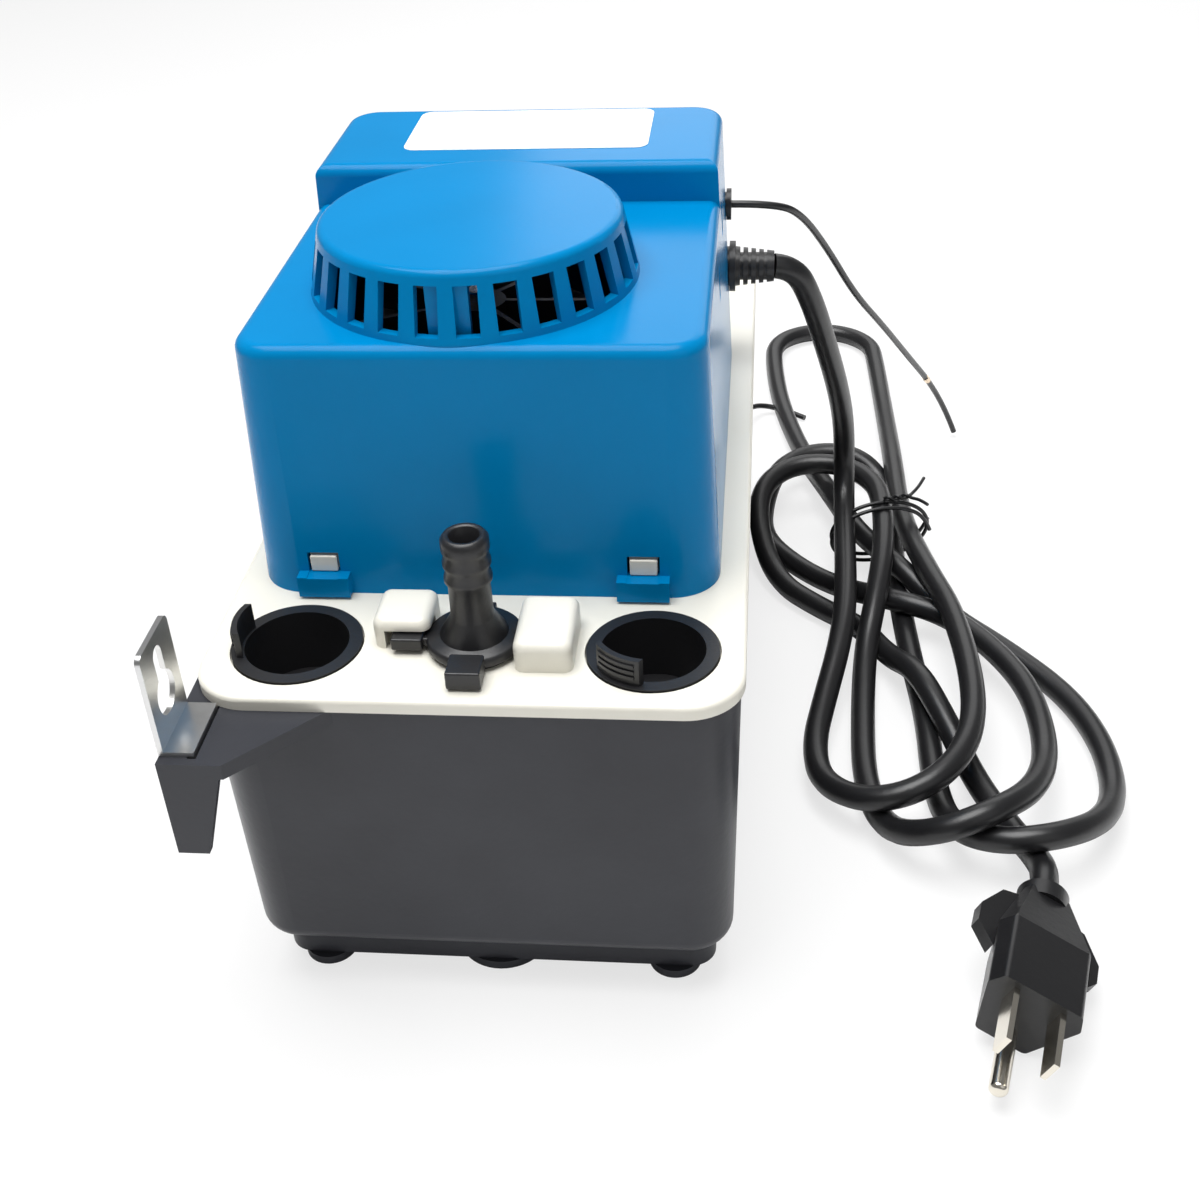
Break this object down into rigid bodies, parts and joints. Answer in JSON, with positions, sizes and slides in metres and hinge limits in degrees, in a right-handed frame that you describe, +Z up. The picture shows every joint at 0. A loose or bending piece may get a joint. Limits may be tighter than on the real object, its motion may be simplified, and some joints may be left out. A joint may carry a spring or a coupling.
{
  "type": "condensate pump",
  "caption": "Tank-type condensate pump: dark tank, white deck with cup plugs, bayonet check valve, blue motor cover with vent dome, wall brackets and power cord.",
  "frame": {"origin": "on the floor under the middle of the tank, at the underside of its sump boss", "axes": "+Z up, -Y the end with the front inlets and the discharge, -X the wall side, +X the side where the cord leaves"},
  "size_m": [0.2377, 0.4404, 0.1816],
  "materials": {
    "dark_tank": "satin",
    "white_deck": "satin",
    "blue_cover": "gloss",
    "black_plastic": "matte",
    "zinc_plate": "satin",
    "stator_steel": "satin",
    "copper_coil": "satin",
    "bright_steel": "satin",
    "bearing_bronze": "satin",
    "pump_plastic": "satin",
    "float_foam": "matte",
    "cord_rubber": "satin",
    "plug_brass": "satin",
    "lead_rubber": "satin",
    "rubber_seal": "matte"
  },
  "bodies": {
    "housing": {"tank": "dark_tank", "tank_feet": "dark_tank", "deck": "white_deck", "motor_cover": "blue_cover", "motor_stator": "stator_steel", "motor_coil_1": "copper_coil", "motor_coil_2": "copper_coil", "motor_coil_3": "copper_coil", "motor_coil_4": "copper_coil", "bearing_bridge_lower": "zinc_plate", "bearing_bridge_upper": "zinc_plate", "bearing_lower": "bearing_bronze", "bearing_upper": "bearing_bronze", "motor_screws": "bright_steel", "pump_column": "pump_plastic", "volute_housing": "pump_plastic", "volute_plate": "pump_plastic", "discharge_tube": "pump_plastic", "float_pivot_pin": "bright_steel", "run_switch": "black_plastic", "alarm_switch": "black_plastic", "switch_bracket": "zinc_plate", "strain_relief": "black_plastic", "lead_bushing": "black_plastic", "lead_bushing_rear": "black_plastic", "power_cord_run": "cord_rubber", "power_cord_hank": "cord_rubber", "power_cord_tail": "cord_rubber", "cord_tie": "cord_rubber", "plug_body": "cord_rubber", "plug_blades": "plug_brass", "plug_ground_pin": "plug_brass", "lead_wire_long": "lead_rubber", "lead_wire_short": "lead_rubber"},
    "rotor": {"motor_shaft": "bright_steel", "rotor_core": "stator_steel", "cooling_fan": "black_plastic", "shaft_slinger": "rubber_seal", "impeller": "pump_plastic"},
    "float": {"float_arm": "pump_plastic", "float_block": "float_foam"},
    "run_lever": {"run_switch_lever": "bright_steel"},
    "alarm_lever": {"alarm_switch_lever": "bright_steel"},
    "check_valve": {"check_valve_body": "black_plastic", "check_valve_seal": "rubber_seal"},
    "valve_ball": {"check_valve_ball": "pump_plastic"},
    "plug_left": {"inlet_plug_left": "black_plastic"},
    "plug_right": {"inlet_plug_right": "black_plastic"},
    "plug_rear": {"inlet_plug_rear": "black_plastic"},
    "bracket_front": {"wall_bracket_front": "zinc_plate"},
    "bracket_rear": {"wall_bracket_rear": "zinc_plate"}
  },
  "joints": [
    {"name": "rotor_spin", "type": "hinge", "parent": "housing", "child": "rotor", "pos_m": [-0.004, -0.04, 0.1214], "axis": [0, 0, 1], "continuous": true},
    {"name": "float_swing", "type": "hinge", "parent": "housing", "child": "float", "pos_m": [0, 0.03, 0.0834], "axis": [1, 0, 0], "range_deg": [0, 18]},
    {"name": "run_lever_swing", "type": "hinge", "parent": "housing", "child": "run_lever", "pos_m": [-0.007, 0.0267, 0.1434], "axis": [1, 0, 0], "range_deg": [-21, 0]},
    {"name": "alarm_lever_swing", "type": "hinge", "parent": "housing", "child": "alarm_lever", "pos_m": [0.007, 0.0267, 0.1434], "axis": [1, 0, 0], "range_deg": [-21, 0]},
    {"name": "check_valve_twist", "type": "hinge", "parent": "housing", "child": "check_valve", "pos_m": [0.0005, -0.106, 0.1014], "axis": [0, 0, 1], "range_deg": [0, 30]},
    {"name": "valve_ball_lift", "type": "slide", "parent": "check_valve", "child": "valve_ball", "axis": [0, 0, 1], "range_m": [0, 0.003]},
    {"name": "inlet_plug_left_lift", "type": "slide", "parent": "housing", "child": "plug_left", "axis": [0, 0, 1], "range_m": [0, 0.04]},
    {"name": "inlet_plug_right_lift", "type": "slide", "parent": "housing", "child": "plug_right", "axis": [0, 0, 1], "range_m": [0, 0.04]},
    {"name": "inlet_plug_rear_lift", "type": "slide", "parent": "housing", "child": "plug_rear", "axis": [0, 0, 1], "range_m": [0, 0.04]},
    {"name": "wall_bracket_front_lift", "type": "slide", "parent": "housing", "child": "bracket_front", "axis": [0, 0, 1], "range_m": [0, 0.024]},
    {"name": "wall_bracket_rear_lift", "type": "slide", "parent": "housing", "child": "bracket_rear", "axis": [0, 0, 1], "range_m": [0, 0.024]}
  ],
  "couplings": [
    {"joint": "run_lever_swing", "follows": "float_swing", "ratio": -1.15},
    {"joint": "alarm_lever_swing", "follows": "float_swing", "ratio": -1.15}
  ]
}
